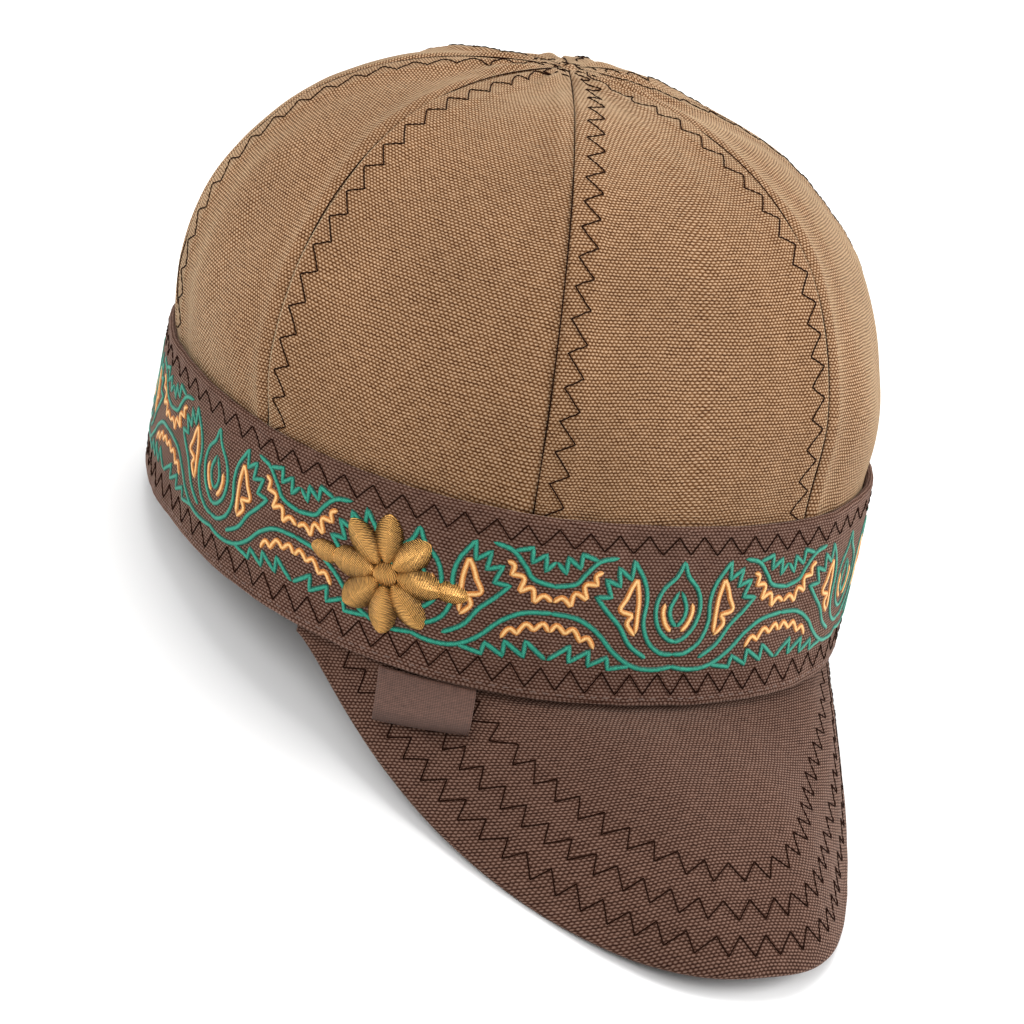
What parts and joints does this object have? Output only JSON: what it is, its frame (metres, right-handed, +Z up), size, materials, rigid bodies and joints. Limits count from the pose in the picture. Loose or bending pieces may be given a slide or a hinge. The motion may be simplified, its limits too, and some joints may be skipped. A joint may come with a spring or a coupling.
{
  "type": "welding cap",
  "caption": "Soft canvas welding cap with a domed crown sewn from panels, a wide stitched band, a curved bill and a small side label.",
  "frame": {"origin": "on the table under the middle of the resting cap's outline (centre of the bounding box's bottom)", "axes": "+Z up from the table, -Y towards the bill, +X towards the wearer's left; the rim is tipped back about 9 degrees, as the cap rests on its bill and the back of its rim"},
  "size_m": [0.187, 0.2698, 0.1441],
  "materials": {
    "crown_canvas": "khaki cotton duck canvas, plain coarse weave",
    "band_canvas": "dark brown cotton duck canvas with teal and gold embroidery",
    "bill_canvas": "dark brown cotton duck canvas with rows of zigzag stitching",
    "label_ribbon": "mauve-brown satin ribbon, folded, bare",
    "gold_thread": "raised gold satin stitch"
  },
  "bodies": {
    "root": {"crown_panel_front": "crown_canvas", "crown_panel_front_left": "crown_canvas", "crown_panel_side_left": "crown_canvas", "crown_panel_back_left": "crown_canvas", "crown_panel_back": "crown_canvas", "crown_panel_back_right": "crown_canvas", "crown_panel_side_right": "crown_canvas", "crown_panel_front_right": "crown_canvas", "band": "band_canvas", "bill": "bill_canvas", "side_label": "label_ribbon", "band_rosette": "gold_thread"}
  },
  "joints": []
}
